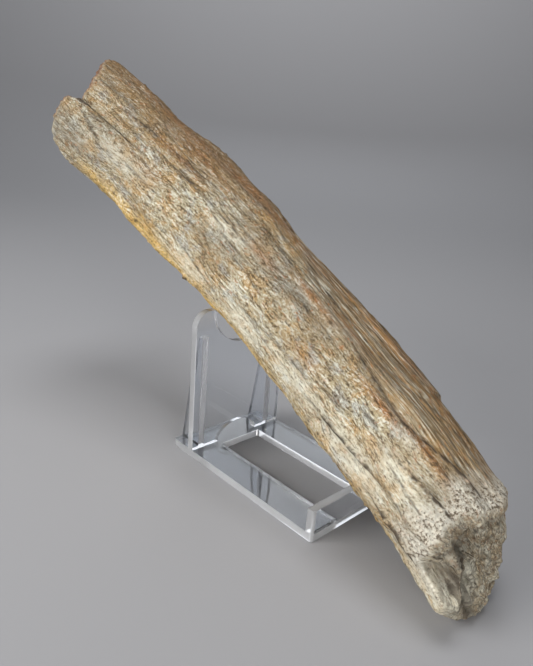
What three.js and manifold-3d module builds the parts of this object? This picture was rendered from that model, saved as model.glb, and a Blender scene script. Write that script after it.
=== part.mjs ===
import * as THREE from "three";
import { mergeVertices } from "three/addons/utils/BufferGeometryUtils.js";
import Module from "manifold-3d";

// A section of fossil mammoth humerus leaning on its clear easel stand.
// Millimetres, +Z up. While it is built, x = 0 is the stand's rear edge, y = 0 its middle
// and z = 0 the surface under it. The finished group is centred over its own footprint.

// Stand: one clear moulding with an open base, a notched back, two gussets and a front lip.
const BASE_LENGTH = 105;
const BASE_WIDTH = 63;
const WALL = 4;
const BASE_CORNER = 1.5;
const WINDOW_WIDTH = 27.5;
const WINDOW_REAR = 20;
const WINDOW_CORNER = 1.2;
const LIP_HEIGHT = 16.3;
const BACK_FRONT_X = 16.8;
const BACK_HEIGHT = 82;
const BACK_SHOULDER = 8.5;
const NOTCH_RADIUS = 19.4;
const NOTCH_CENTRE_Z = 81;
const ARCH_HALF_WIDTH = 14;
const ARCH_HEIGHT = 9.5;
const GUSSET_OUTER_Y = 26;
const GUSSET_HEIGHT = 67;
const GUSSET_TOP_DEPTH = 3;
const OVERLAP = 0.5;
const ARC_STEPS = 8;

// Bone axis: the middle of the upper break, the middle of the lower break and the sideways bow.
const BONE_TOP = new THREE.Vector3(-111, -16, 170.5);
const BONE_FOOT = new THREE.Vector3(180.4, -13.3, 20.6);
const BONE_BOW = new THREE.Vector3(0, 15.3, 0);
const RADIUS_TOP = 31.7;
const RADIUS_MIDDLE = 28;
const RADIUS_FOOT = 23.4;

// Angles round the bone are in degrees: 0 is its upper side, 90 its +Y side and -90 its -Y side.
const OVAL = 0.03;
const OVAL_ANGLE = 80;
const KEEL = 0.018;
const KEEL_ANGLE = 160;

// Upper break: where the wall starts along the axis at each angle, with one steep-sided notch and a
// peak, round a shallow spongy hollow.
const UPPER_RIM = [
  { angle: -180, distance: 3 },
  { angle: -150, distance: 4.5 },
  { angle: -120, distance: 4.8 },
  { angle: -105, distance: 3.2 },
  { angle: -90, distance: 2 },
  { angle: -80, distance: 2 },
  { angle: -70, distance: 3.2 },
  { angle: -65, distance: 3.4 },
  { angle: -60, distance: 9.9 },
  { angle: -45, distance: 8 },
  { angle: -35, distance: 5.2 },
  { angle: -25, distance: 1.8 },
  { angle: -15, distance: -2.2 },
  { angle: 0, distance: -7.8 },
  { angle: 6, distance: -9 },
  { angle: 16, distance: -7.2 },
  { angle: 24, distance: -4.5 },
  { angle: 40, distance: -1 },
  { angle: 70, distance: 1 },
  { angle: 120, distance: 2 },
  { angle: 180, distance: 3 },
];
const TOP_WALL_FROM = 0.56;
const TOP_WALL_TO = 0.86;
const TOP_HOLLOW = 4;

// Lower break: it slopes from the short upper side to the long lower side. Its two lower corners
// are worn back, and a deep recess lies under the near half of the roof of outer wall.
const FOOT_END = 330;
const FOOT_MIDDLE_CUT = 15.5;
const FOOT_SLOPE_UP = 0.9;
const FOOT_SLOPE_FAR = 0.24;
const FOOT_SLOPE_NEAR = 0.5;
const FOOT_NEAR_LOSS = 3;
const FOOT_NEAR_FROM = 4;
const FOOT_NEAR_TO = 18;
const FOOT_FAR_LOSS = 3.4;
const FOOT_FAR_FROM = 2;
const FOOT_FAR_TO = 12;
const FOOT_LOW_FROM = 8;
const FOOT_LOW_TO = 22;
const RECESS_END = 298;
const RECESS_FAR_RISE = 8;
const RECESS_FAR_FROM = -4;
const RECESS_FAR_TO = 6;
const RECESS_RIM_FROM = 12;
const RECESS_RIM_TO = 20;
const ROOF_END = 310;
const ROOF_FAR_LOSS = 4;
const ROOF_FAR_ANGLE = 50;
const ROOF_NOTCH_ANGLE = -38;
const ROOF_NOTCH_WIDTH = 18;
const ROOF_NOTCH_DEPTH = 3.5;
const ROOF_WALL = 5;
const ROOF_WALL_STEP = 1.5;
const ROOF_FROM = -97;
const ROOF_TO = 85;
const ROOF_SIDE_STEP = 6;
const ROOF_LUMP_SHARE = 0.7;
const TOE_FROM = 280;
const TOE_ANGLE = 168;
const TOE_WIDTH = 40;
const TOE_HEIGHT = 1.6;

// Pits and lumps of a break face: where each lies as up and side, how wide it is and how deep.
const FACE_PITS = [
  { up: 8, side: -9, width: 6.5, depth: 12 },
  { up: 14, side: -3, width: 4.5, depth: 7 },
  { up: -2, side: -17, width: 2.8, depth: 9 },
  { up: -8, side: -15.5, width: 2.4, depth: 6 },
  { up: -1, side: -11, width: 2.2, depth: 6 },
  { up: -6, side: -9.5, width: 2.2, depth: 5 },
  { up: -12, side: -9, width: 3.2, depth: 4 },
  { up: -4, side: 8, width: 5, depth: -1.6 },
  { up: 2, side: 14, width: 4, depth: -1.2 },
  { up: 2, side: 22, width: 7, depth: -3.4 },
];
const TOP_EDGE_ROUND = 2.5;
const TOP_EDGE_LOSS = 1.4;
const EDGE_ROUND = 4;
const EDGE_LOSS = 2.6;
const LUMP_HEIGHT = 0.9;
const LUMP_SIZE = 1.7;
const LUMP_SLANT_SIZE = 2.2;
const LUMP_SLANT_SHARE = 0.7;
const LUMP_FADE = 0.8;
const LUMP_FADE_FROM = 0.75;

// Long grooves and ridges of the weathered surface. Each runs straight from one place, given as
// distance and angle, to another. A negative depth stands proud as a ridge.
const GROOVES = [
  { from: [10, -60], to: [62, -56], width: 2.6, depth: 2.4 },
  { from: [30, -39], to: [112, -24], width: 3, depth: 1.2 },
  { from: [72, -43], to: [150, -40], width: 2.8, depth: 1.3 },
  { from: [112, -89], to: [158, -97], width: 3, depth: 1.3 },
  { from: [168, -84], to: [215, -77], width: 3, depth: 1 },
  { from: [180, -6], to: [250, -3], width: 2.6, depth: 1.3 },
  { from: [246, -3], to: [292, 20], width: 2.6, depth: 1.1 },
  { from: [228, -23], to: [268, -30], width: 2.8, depth: 1.5 },
  { from: [262, -30], to: [306, -7], width: 2.6, depth: 1.4 },
  { from: [228, -90], to: [280, -78], width: 2.6, depth: 1.8 },
  { from: [244, -99], to: [281, -92], width: 5, depth: -1.4 },
  { from: [278, -53], to: [304, -45], width: 2.8, depth: 1.5 },
  { from: [285, -97], to: [322, -97], width: 3, depth: 1.8 },
  { from: [30, 60], to: [190, 72], width: 4, depth: 1.5 },
  { from: [120, 105], to: [300, 98], width: 4, depth: 1.7 },
  { from: [40, 150], to: [210, 138], width: 4, depth: 1.4 },
  { from: [190, 175], to: [320, 166], width: 3.6, depth: 1.3 },
  { from: [20, -140], to: [150, -134], width: 4, depth: 1.2 },
  { from: [62, -142], to: [110, -142], width: 15, depth: -1.8 },
  { from: [38, 38], to: [58, 38], width: 10, depth: 1.6 },
  { from: [70, 38], to: [102, 38], width: 10, depth: -2.1 },
  { from: [140, 38], to: [174, 38], width: 12, depth: 1.4 },
  { from: [205, 40], to: [250, 40], width: 15, depth: 0.8 },
  { from: [289, 44], to: [302, 44], width: 9, depth: 1.1 },
  { from: [298, 72], to: [314, 72], width: 9, depth: -1.3 },
  { from: [208, -142], to: [228, -142], width: 14, depth: 1.2 },
];
const GROOVE_FADE = 12;

// A thin sheet of the outer layer is left on the far side and breaks off short of the lower end.
const SHEET_FROM = 185;
const SHEET_END = 260;
const SHEET_LOW_ANGLE = 14;
const SHEET_HIGH_ANGLE = 78;
const SHEET_THICKNESS = 1.3;
const SHEET_SIDE_STEP = 6;
const SHEET_FULL = 240;

// Low ripples that run along the grain, two sets round the bone, and a slow swell along it.
const RIPPLE_HEIGHT = 0.36;
const RIPPLE_LENGTH = 55;
const COARSE_RIPPLES = 9;
const COARSE_SWAY = 1.7;
const FINE_RIPPLES = 17;
const FINE_SWAY = 2.3;
const FINE_SHARE = 0.7;
const SWELL_LENGTH = 19;
const SWELL_TWIST = 2;
const SWELL_SHARE = 1.9;

const AROUND = 72;
const SHAFT_RINGS = 44;
const CAP_RINGS = 9;

const { clamp, degToRad, euclideanModulo, lerp, smoothstep } = THREE.MathUtils;

const wasm = await Module();
wasm.setup();

function bare(geometry) {
  const copy = geometry.clone();
  copy.deleteAttribute("normal");
  copy.deleteAttribute("uv");
  return mergeVertices(copy, 1e-4);
}

function solid(geometry) {
  const shell = bare(geometry);
  return new wasm.Manifold(
    new wasm.Mesh({
      numProp: 3,
      vertProperties: new Float32Array(shell.attributes.position.array),
      triVerts: new Uint32Array(shell.index.array),
    }),
  );
}

function geometryOf(manifold) {
  const { vertProperties, triVerts } = manifold.getMesh();
  const geometry = new THREE.BufferGeometry();
  geometry.setAttribute("position", new THREE.BufferAttribute(new Float32Array(vertProperties), 3));
  geometry.setIndex(new THREE.BufferAttribute(new Uint32Array(triVerts), 1));
  geometry.computeVertexNormals();
  return geometry;
}

function extrude(shape, depth) {
  return new THREE.ExtrudeGeometry(shape, { depth, bevelEnabled: false, curveSegments: ARC_STEPS });
}

function roundedRectangle(path, x0, y0, x1, y1, corner) {
  path.moveTo(x0 + corner, y0);
  path.lineTo(x1 - corner, y0);
  path.absarc(x1 - corner, y0 + corner, corner, -Math.PI / 2, 0);
  path.lineTo(x1, y1 - corner);
  path.absarc(x1 - corner, y1 - corner, corner, 0, Math.PI / 2);
  path.lineTo(x0 + corner, y1);
  path.absarc(x0 + corner, y1 - corner, corner, Math.PI / 2, Math.PI);
  path.lineTo(x0, y0 + corner);
  path.absarc(x0 + corner, y0 + corner, corner, Math.PI, 1.5 * Math.PI);
  return path;
}

// The flat base, open in the middle from the back up to the lip.
function basePlate() {
  const halfWidth = BASE_WIDTH / 2;
  const outline = roundedRectangle(new THREE.Shape(), 0, -halfWidth, BASE_LENGTH, halfWidth, BASE_CORNER);
  const halfWindow = WINDOW_WIDTH / 2;
  const windowFront = BASE_LENGTH - WALL;
  outline.holes.push(
    roundedRectangle(new THREE.Path(), WINDOW_REAR, -halfWindow, windowFront, halfWindow, WINDOW_CORNER),
  );
  return extrude(outline, WALL);
}

// The upright lip along the front edge, with the base's own corner rounding.
function frontLip() {
  const halfWidth = BASE_WIDTH / 2;
  const rear = BASE_LENGTH - WALL;
  const plan = new THREE.Shape();
  plan.moveTo(rear, -halfWidth);
  plan.lineTo(BASE_LENGTH - BASE_CORNER, -halfWidth);
  plan.absarc(BASE_LENGTH - BASE_CORNER, BASE_CORNER - halfWidth, BASE_CORNER, -Math.PI / 2, 0);
  plan.lineTo(BASE_LENGTH, halfWidth - BASE_CORNER);
  plan.absarc(BASE_LENGTH - BASE_CORNER, halfWidth - BASE_CORNER, BASE_CORNER, 0, Math.PI / 2);
  plan.lineTo(rear, halfWidth);
  return extrude(plan, LIP_HEIGHT);
}

// The back panel, drawn as y and z, with a half-round notch on top and a small arch at its foot.
function backPanel() {
  const halfWidth = BASE_WIDTH / 2;
  const foot = WALL - OVERLAP;
  const face = new THREE.Shape();
  face.moveTo(-halfWidth, foot);
  face.lineTo(-ARCH_HALF_WIDTH, foot);
  face.lineTo(-ARCH_HALF_WIDTH, WALL);
  face.absellipse(0, WALL, ARCH_HALF_WIDTH, ARCH_HEIGHT, Math.PI, 0, true);
  face.lineTo(ARCH_HALF_WIDTH, foot);
  face.lineTo(halfWidth, foot);
  face.absarc(halfWidth - BACK_SHOULDER, BACK_HEIGHT - BACK_SHOULDER, BACK_SHOULDER, 0, Math.PI / 2);
  face.lineTo(NOTCH_RADIUS, BACK_HEIGHT);
  face.absarc(0, NOTCH_CENTRE_Z, NOTCH_RADIUS, 0, -Math.PI, true);
  face.lineTo(-NOTCH_RADIUS, BACK_HEIGHT);
  face.absarc(BACK_SHOULDER - halfWidth, BACK_HEIGHT - BACK_SHOULDER, BACK_SHOULDER, Math.PI / 2, Math.PI);
  const panel = extrude(face, WALL);
  panel.applyMatrix4(
    new THREE.Matrix4().makeBasis(
      new THREE.Vector3(0, 1, 0),
      new THREE.Vector3(0, 0, 1),
      new THREE.Vector3(1, 0, 0),
    ),
  );
  return panel.translate(BACK_FRONT_X - WALL, 0, 0);
}

// A triangular gusset behind the panel, drawn as x and z, with its outer face at outerY.
function gusset(outerY) {
  const panelRear = BACK_FRONT_X - WALL;
  const side = new THREE.Shape();
  side.moveTo(0, WALL - OVERLAP);
  side.lineTo(panelRear + OVERLAP, WALL - OVERLAP);
  side.lineTo(panelRear + OVERLAP, GUSSET_HEIGHT);
  side.lineTo(panelRear - GUSSET_TOP_DEPTH, GUSSET_HEIGHT);
  side.lineTo(0, WALL);
  const plate = extrude(side, WALL).rotateX(Math.PI / 2);
  return plate.translate(0, outerY, 0);
}

function standGeometry() {
  const gussets = [gusset(GUSSET_OUTER_Y), gusset(WALL - GUSSET_OUTER_Y)];
  const pieces = [basePlate(), frontLip(), backPanel(), ...gussets];
  const moulding = pieces.map(solid).reduce((whole, piece) => whole.add(piece));
  return geometryOf(moulding);
}

const CHORD = BONE_TOP.distanceTo(BONE_FOOT);

// The bone's axis at a distance from its upper end, with the directions along, up and sideways.
function boneAxis(distance) {
  const t = distance / CHORD;
  const place = new THREE.Vector3().lerpVectors(BONE_TOP, BONE_FOOT, t);
  place.addScaledVector(BONE_BOW, 4 * t * (1 - t));
  const along = new THREE.Vector3().subVectors(BONE_FOOT, BONE_TOP);
  along.addScaledVector(BONE_BOW, 4 * (1 - 2 * t)).normalize();
  const side = new THREE.Vector3(0, 0, 1).cross(along).normalize();
  const up = new THREE.Vector3().crossVectors(along, side);
  return { place, up, side };
}

// The signed difference between two angles, within half a turn.
function turn(angle, reference) {
  return euclideanModulo(angle - reference + 180, 360) - 180;
}

function plainRadius(distance) {
  const t = distance / CHORD;
  const curve = 2 * (RADIUS_TOP + RADIUS_FOOT - 2 * RADIUS_MIDDLE);
  const slope = RADIUS_FOOT - RADIUS_TOP - curve;
  return RADIUS_TOP + slope * t + curve * t * t;
}

function grooveDepth(distance, angle, radius) {
  let sum = 0;
  for (const { from, to, width, depth } of GROOVES) {
    const share = (distance - from[0]) / (to[0] - from[0]);
    const centre = lerp(from[1], to[1], share);
    const apart = degToRad(turn(angle, centre)) * radius;
    const rise = smoothstep(distance, from[0] - GROOVE_FADE, from[0] + GROOVE_FADE);
    const fall = 1 - smoothstep(distance, to[0] - GROOVE_FADE, to[0] + GROOVE_FADE);
    sum += depth * Math.exp(-((apart / width) ** 2)) * rise * fall;
  }
  return sum;
}

// The sheet thickens from its upper end and stops at a sharp step.
function sheetHeight(distance, angle) {
  const middle = (SHEET_LOW_ANGLE + SHEET_HIGH_ANGLE) / 2;
  const half = (SHEET_HIGH_ANGLE - SHEET_LOW_ANGLE) / 2;
  const across = 1 - smoothstep(Math.abs(turn(angle, middle)), half - SHEET_SIDE_STEP, half);
  const lengthwise = smoothstep(distance, SHEET_FROM, SHEET_FULL);
  return distance < SHEET_END ? SHEET_THICKNESS * across * lengthwise : 0;
}

function ripple(distance, angle) {
  const phase = distance / RIPPLE_LENGTH;
  const turnAngle = degToRad(angle);
  const coarse = Math.sin(COARSE_RIPPLES * turnAngle + COARSE_SWAY * Math.sin(phase));
  const fine = FINE_SHARE * Math.sin(FINE_RIPPLES * turnAngle - FINE_SWAY * Math.cos(phase));
  const swell = SWELL_SHARE * Math.sin(distance / SWELL_LENGTH + SWELL_TWIST * Math.sin(2 * turnAngle));
  return RIPPLE_HEIGHT * (coarse + fine + swell);
}

// The lower side swells into a toe, which the bone stands on.
function toe(distance, angle) {
  const across = Math.exp(-((turn(angle, TOE_ANGLE) / TOE_WIDTH) ** 2));
  return TOE_HEIGHT * across * smoothstep(distance, TOE_FROM, FOOT_END);
}

function surfaceRadius(distance, angle) {
  const radius = plainRadius(distance);
  const oval = OVAL * Math.cos(2 * degToRad(angle - OVAL_ANGLE));
  const keel = KEEL * Math.cos(3 * degToRad(angle - KEEL_ANGLE));
  const raised = ripple(distance, angle) + sheetHeight(distance, angle) + toe(distance, angle);
  return radius * (1 + oval + keel) + raised - grooveDepth(distance, angle, radius);
}

// Lumps of the broken spongy bone over the section.
function lumps(up, side) {
  const upright = Math.sin(up / LUMP_SIZE + 1) * Math.cos(side / LUMP_SIZE);
  const slanted = LUMP_SLANT_SHARE * Math.sin((side - up) / LUMP_SLANT_SIZE + 2);
  return LUMP_HEIGHT * (upright + slanted);
}

// How far the pits and lumps of the lower face set it back.
function facePits(up, side) {
  let sum = 0;
  for (const pit of FACE_PITS) {
    sum += pit.depth * Math.exp(-((up - pit.up) ** 2 + (side - pit.side) ** 2) / pit.width ** 2);
  }
  return sum;
}

// Where the wall starts at the upper end.
function upperRim(angle) {
  const next = UPPER_RIM.findIndex((point) => point.angle > angle);
  const before = UPPER_RIM[next - 1];
  const after = UPPER_RIM[next];
  return lerp(before.distance, after.distance, (angle - before.angle) / (after.angle - before.angle));
}

// The upper break over the section.
function upperBreak(share, angle, up, side) {
  const wall = smoothstep(share, TOP_WALL_FROM, TOP_WALL_TO);
  return lerp(TOP_HOLLOW + lumps(up, side), upperRim(angle), wall);
}

// The lower break over the section, without its roof. Its lumps fade towards the rim.
function lowerFace(share, up, side) {
  const sideways = FOOT_SLOPE_FAR * Math.max(side, 0) + FOOT_SLOPE_NEAR * Math.min(side, 0);
  const slope = FOOT_END - FOOT_MIDDLE_CUT - FOOT_SLOPE_UP * up - sideways;
  const nearLoss = FOOT_NEAR_LOSS * smoothstep(-side, FOOT_NEAR_FROM, FOOT_NEAR_TO);
  const farSide = smoothstep(side, FOOT_FAR_FROM, FOOT_FAR_TO);
  const farLoss = FOOT_FAR_LOSS * farSide * smoothstep(-up, FOOT_LOW_FROM, FOOT_LOW_TO);
  const farRise = RECESS_FAR_RISE * smoothstep(side, RECESS_FAR_FROM, RECESS_FAR_TO);
  const recess = RECESS_END + farRise * (1 - smoothstep(side, RECESS_RIM_FROM, RECESS_RIM_TO));
  const face = clamp(slope - farLoss, recess, FOOT_END - nearLoss - farLoss);
  const lumpShare = 1 - LUMP_FADE * smoothstep(share, LUMP_FADE_FROM, 1);
  return face + lumpShare * lumps(up, side) - facePits(up, side);
}

// The lower break with the roof of outer wall that stands out over it.
function lowerBreak(share, angle, up, side, radius) {
  const farLoss = ROOF_FAR_LOSS * smoothstep(angle, 0, ROOF_FAR_ANGLE);
  const notch = ROOF_NOTCH_DEPTH * Math.exp(-((turn(angle, ROOF_NOTCH_ANGLE) / ROOF_NOTCH_WIDTH) ** 2));
  const roofEnd = ROOF_END - farLoss - notch + ROOF_LUMP_SHARE * lumps(side, up);
  const nearSide = smoothstep(angle, ROOF_FROM - ROOF_SIDE_STEP, ROOF_FROM + ROOF_SIDE_STEP);
  const farSide = 1 - smoothstep(angle, ROOF_TO - 2 * ROOF_SIDE_STEP, ROOF_TO);
  const depth = radius * (1 - share);
  const wall = 1 - smoothstep(depth, ROOF_WALL - ROOF_WALL_STEP, ROOF_WALL + ROOF_WALL_STEP);
  return lerp(lowerFace(share, up, side), roofEnd, nearSide * farSide * wall);
}

// A unit lathe whose stations become the rings of the upper cap, the shaft and the lower cap.
function boneGeometry() {
  const profile = [];
  for (let ring = 0; ring < CAP_RINGS; ring++) {
    profile.push(new THREE.Vector2(ring / CAP_RINGS, 1));
  }
  for (let ring = 0; ring <= SHAFT_RINGS; ring++) {
    profile.push(new THREE.Vector2(1, 1 - (2 * ring) / SHAFT_RINGS));
  }
  for (let ring = CAP_RINGS - 1; ring >= 0; ring--) {
    profile.push(new THREE.Vector2(ring / CAP_RINGS, -1));
  }
  profile.reverse();
  const lathe = new THREE.LatheGeometry(profile, AROUND);
  const points = lathe.attributes.position;
  for (let index = 0; index < points.count; index++) {
    const column = Math.floor(index / profile.length) % AROUND;
    const { x: share, y: height } = profile[index % profile.length];
    const place = bonePoint(share, height, -180 + (360 * column) / AROUND);
    points.setXYZ(index, place.x, place.y, place.z);
  }
  return bare(lathe);
}

// A point of the bone, from its share of the radius, its height on the unit lathe and its angle.
function bonePoint(share, height, angle) {
  const turnAngle = degToRad(angle);
  const across = (radius) => [share * radius * Math.cos(turnAngle), share * radius * Math.sin(turnAngle)];
  const topRadius = surfaceRadius(0, angle);
  const footRadius = surfaceRadius(ROOF_END, angle);
  const first = upperBreak(share, angle, ...across(topRadius));
  const last = lowerBreak(share, angle, ...across(footRadius), footRadius);
  const distance = lerp(last, first, (height + 1) / 2);
  const topWear = TOP_EDGE_LOSS * (1 - clamp((distance - first) / TOP_EDGE_ROUND, 0, 1)) ** 2;
  const footWear = EDGE_LOSS * (1 - clamp((last - distance) / EDGE_ROUND, 0, 1)) ** 2;
  const radius = share * (surfaceRadius(distance, angle) - topWear - footWear);
  const { place, up, side } = boneAxis(distance);
  place.addScaledVector(up, radius * Math.cos(turnAngle));
  return place.addScaledVector(side, radius * Math.sin(turnAngle));
}

const clearPlastic = new THREE.MeshStandardMaterial({
  color: 0xeaf0f6,
  roughness: 0.05,
  metalness: 0,
  transparent: true,
  opacity: 0.3,
});
const fossilBone = new THREE.MeshStandardMaterial({ color: 0xb39a78, roughness: 0.85, metalness: 0 });

const displayStand = new THREE.Mesh(standGeometry(), clearPlastic);
displayStand.name = "display_stand";

const humerusSection = new THREE.Mesh(boneGeometry(), fossilBone);
humerusSection.name = "humerus_section";
humerusSection.geometry.computeVertexNormals();
humerusSection.geometry.computeBoundingBox();
humerusSection.position.z = -humerusSection.geometry.boundingBox.min.z;

const display = new THREE.Group();
display.add(displayStand, humerusSection);
const footprint = new THREE.Box3().setFromObject(display).getCenter(new THREE.Vector3());
display.position.set(-footprint.x, -footprint.y, 0);

export default display;
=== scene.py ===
import math

import bmesh
import bpy
import numpy as np
from mathutils import Matrix, Vector, noise


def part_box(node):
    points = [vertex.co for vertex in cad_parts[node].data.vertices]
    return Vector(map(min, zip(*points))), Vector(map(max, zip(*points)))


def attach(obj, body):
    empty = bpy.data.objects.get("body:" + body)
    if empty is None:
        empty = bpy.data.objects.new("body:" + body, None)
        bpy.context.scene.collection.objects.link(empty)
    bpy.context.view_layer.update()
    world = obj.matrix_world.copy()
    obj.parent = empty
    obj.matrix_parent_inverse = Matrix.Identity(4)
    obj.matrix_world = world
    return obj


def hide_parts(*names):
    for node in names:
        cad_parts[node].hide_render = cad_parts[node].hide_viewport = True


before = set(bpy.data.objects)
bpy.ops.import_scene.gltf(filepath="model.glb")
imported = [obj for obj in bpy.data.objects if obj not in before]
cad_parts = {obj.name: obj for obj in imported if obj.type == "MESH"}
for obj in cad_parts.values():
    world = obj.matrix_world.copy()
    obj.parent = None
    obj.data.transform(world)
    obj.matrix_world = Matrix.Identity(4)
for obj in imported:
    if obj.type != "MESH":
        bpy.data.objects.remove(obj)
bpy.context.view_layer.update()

# Display stand: one clear polystyrene easel with an open base, a notched back, two gussets
# and a front lip. It comes out of the mould in one piece, with small rounds on its edges and
# faint flow waves in its polished faces.
MOULD_ROUND, ROUND_STEPS = 0.0008, 2
FLAT_ANGLE = math.radians(0.6)
EDGE_ANGLE = math.radians(24)
WELD = 1e-5
PLATE = 0.004
THIN_FACE = 0.0052
FACING_FRONT, FACING_SIDE = 0.99, 0.9
CLEAR_FINISH, EDGE_FROST_AND_LIGHT, ROUND_FROST_AND_LIGHT = 0, 1, 2
FACE_ORDER = Vector((1.0, 3.7, 13.1))

stand_low, stand_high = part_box("display_stand")
stand_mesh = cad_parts["display_stand"].data.copy()
stand_mesh.materials.clear()
moulding = bmesh.new()
moulding.from_mesh(stand_mesh)
bmesh.ops.remove_doubles(moulding, verts=moulding.verts, dist=WELD)
bmesh.ops.dissolve_limit(
    moulding, angle_limit=FLAT_ANGLE, verts=moulding.verts, edges=moulding.edges
)
sharp_edges = [
    edge
    for edge in moulding.edges
    if edge.is_manifold and edge.calc_face_angle() > EDGE_ANGLE
]
rounded = bmesh.ops.bevel(
    moulding,
    geom=sharp_edges,
    offset=MOULD_ROUND,
    offset_type="OFFSET",
    segments=ROUND_STEPS,
    profile=0.5,
    affect="EDGES",
    clamp_overlap=True,
)
rounds = set(rounded["faces"])
bmesh.ops.recalc_face_normals(moulding, faces=moulding.faces)

# The front edge of the base plate and the lip above it are one flat face. It is cut at the top
# of the plate, because the two catch the light differently. Sorting keeps the mesh the same
# each time.
front_x = max(vertex.co.x for vertex in moulding.verts)
front = [
    face
    for face in moulding.faces
    if face.normal.x > FACING_FRONT and face.calc_center_median().x > front_x - MOULD_ROUND / 4
]
front_edges = [edge for edge in moulding.edges if any(face in front for face in edge.link_faces)]
front_corners = [
    vertex for vertex in moulding.verts if any(face in front for face in vertex.link_faces)
]
bmesh.ops.bisect_plane(
    moulding, geom=front + front_edges + front_corners, plane_co=(0, 0, PLATE), plane_no=(0, 0, 1)
)
side_low, side_high = (pick(vertex.co.y for vertex in moulding.verts) for pick in (min, max))
for face in moulding.faces:
    face.smooth = True
    width = face.calc_area() / max(edge.calc_length() for edge in face.edges)
    side = face.calc_center_median().y
    outermost = min(side - side_low, side_high - side) < MOULD_ROUND
    # Rounds, thin faces and the outermost sides get the partly white plastic: painted light on the
    # edges.
    if face in rounds:
        face.material_index = ROUND_FROST_AND_LIGHT
    elif (outermost and abs(face.normal.y) > FACING_SIDE) or width < THIN_FACE:
        face.material_index = EDGE_FROST_AND_LIGHT
    else:
        face.material_index = CLEAR_FINISH
moulding.faces.sort(key=lambda face: face.calc_center_median().dot(FACE_ORDER))
moulding.to_mesh(stand_mesh)
moulding.free()
stand = bpy.data.objects.new("clear_stand", stand_mesh)
bpy.context.scene.collection.objects.link(stand)
bpy.context.view_layer.objects.active = stand
harden = stand.modifiers.new("face_normals", "WEIGHTED_NORMAL")
harden.keep_sharp = True
harden.weight = 80


def paint(red, green, blue):
    """A colour as a paint chart gives it, 0 to 255, in the renderer's linear values."""
    linear = []
    for part in (red, green, blue):
        share = part / 255
        linear.append(share / 12.92 if share <= 0.04045 else ((share + 0.055) / 1.055) ** 2.4)
    return (*linear, 1.0)


def add(tree, kind, inputs=None, **settings):
    """A new node whose inputs are linked to sockets or set to plain values."""
    node = tree.nodes.new(kind)
    for name, value in settings.items():
        setattr(node, name, value)
    for key, value in (inputs or {}).items():
        if isinstance(value, bpy.types.NodeSocket):
            tree.links.new(value, node.inputs[key])
        else:
            node.inputs[key].default_value = value
    return node


def new_material(name):
    """An empty node material with its output, for one finish."""
    material = bpy.data.materials.new(name)
    material.use_nodes = True
    material.node_tree.nodes.clear()
    output = add(material.node_tree, "ShaderNodeOutputMaterial")
    return material, material.node_tree, output


# Haze of the moulded faces: how much the polish is dulled, from place to place.
PLASTIC_IOR = 1.5
HAZE_INPUTS = ("Scale", "Detail", "Roughness", "From Min", "From Max", "To Min", "To Max")
haze_group = bpy.data.node_groups.new("plastic_haze", "ShaderNodeTree")
for socket in HAZE_INPUTS:
    haze_group.interface.new_socket(socket, in_out="INPUT", socket_type="NodeSocketFloat")
haze_group.interface.new_socket("Haze", in_out="OUTPUT", socket_type="NodeSocketFloat")
asked = add(haze_group, "NodeGroupInput").outputs
haze_place = add(haze_group, "ShaderNodeTexCoord").outputs["Object"]
wear_noise = add(
    haze_group,
    "ShaderNodeTexNoise",
    {"Vector": haze_place, **{socket: asked[socket] for socket in HAZE_INPUTS[:3]}},
)
haze_range = add(
    haze_group,
    "ShaderNodeMapRange",
    {"Value": wear_noise.outputs["Fac"], **{socket: asked[socket] for socket in HAZE_INPUTS[3:]}},
)
add(haze_group, "NodeGroupOutput", {"Haze": haze_range.outputs["Result"]})


def plastic_haze(tree, *values):
    """The haze of one finish, with the group's inputs in their order."""
    return add(
        tree, "ShaderNodeGroup", dict(zip(HAZE_INPUTS, values)), node_tree=haze_group
    ).outputs["Haze"]


clear_plastic, tree, output = new_material("clear_plastic")
flow = add(
    tree,
    "ShaderNodeTexNoise",
    {
        "Vector": add(tree, "ShaderNodeTexCoord").outputs["Object"],
        "Scale": 60.0,
        "Detail": 1.0,
        "Roughness": 0.4,
    },
)
flow_bump = add(
    tree,
    "ShaderNodeBump",
    {"Height": flow.outputs["Fac"], "Strength": 0.08, "Distance": 0.001},
)
plastic = add(
    tree,
    "ShaderNodeBsdfPrincipled",
    {
        "Base Color": paint(248, 251, 255),
        "Roughness": plastic_haze(tree, 900.0, 3.0, 0.6, 0.35, 0.8, 0.01, 0.06),
        "IOR": PLASTIC_IOR,
        "Transmission Weight": 1.0,
        "Normal": flow_bump.outputs["Normal"],
    },
)
tree.links.new(plastic.outputs["BSDF"], output.inputs["Surface"])
stand_mesh.materials.append(clear_plastic)

# The thin edges and the rounds are a little duller and partly white, so they look whiter than the
# faces. The white share is painted light: it stands in for the light that runs inside the plates
# and comes out there, and for the bright lines that the rounds catch.
for finish, clearness, least_haze, most_haze in (
    ("edge_frost_and_painted_light", 0.7, 0.1, 0.18),
    ("round_frost_and_painted_light", 0.35, 0.12, 0.2),
):
    edge_frost_and_light, tree, output = new_material(finish)
    edge_plastic = add(
        tree,
        "ShaderNodeBsdfPrincipled",
        {
            "Base Color": paint(252, 253, 255),
            "Roughness": plastic_haze(tree, 240.0, 2.0, 0.5, 0.3, 0.7, least_haze, most_haze),
            "IOR": PLASTIC_IOR,
            "Transmission Weight": clearness,
        },
    )
    tree.links.new(edge_plastic.outputs["BSDF"], output.inputs["Surface"])
    stand_mesh.materials.append(edge_frost_and_light)

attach(stand, "root")
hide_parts("display_stand")

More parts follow.
